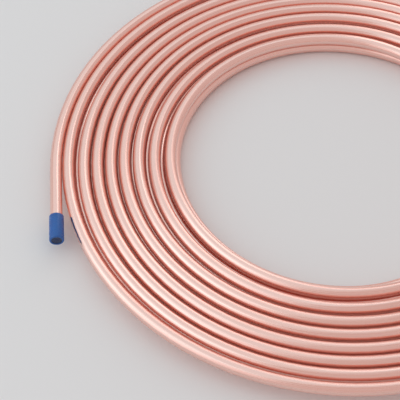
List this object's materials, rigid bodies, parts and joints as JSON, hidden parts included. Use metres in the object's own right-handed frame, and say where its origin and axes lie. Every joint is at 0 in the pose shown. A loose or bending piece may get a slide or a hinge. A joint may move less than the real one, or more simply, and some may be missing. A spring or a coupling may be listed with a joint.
{
  "type": "copper tube coil",
  "caption": "Coil of soft copper tube, wound flat in two layers around an open eye, with a push-on plastic cap on each free end.",
  "frame": {"origin": "On the coil's axis, at the level of the floor that the lower layer lies on.", "axes": "+Z is the coil's axis and points up out of the coil. The upper free end lies on the -X side and points to -Y, and the lower free end lies on the +X side and points to -Y."},
  "size_m": [0.465, 0.4483, 0.0203],
  "materials": {
    "copper": "bright drawn copper",
    "blue_cap": "soft satin"
  },
  "bodies": {
    "root": {"copper_tube": "copper", "upper_end_cap": "blue_cap", "lower_end_cap": "blue_cap"}
  },
  "joints": []
}
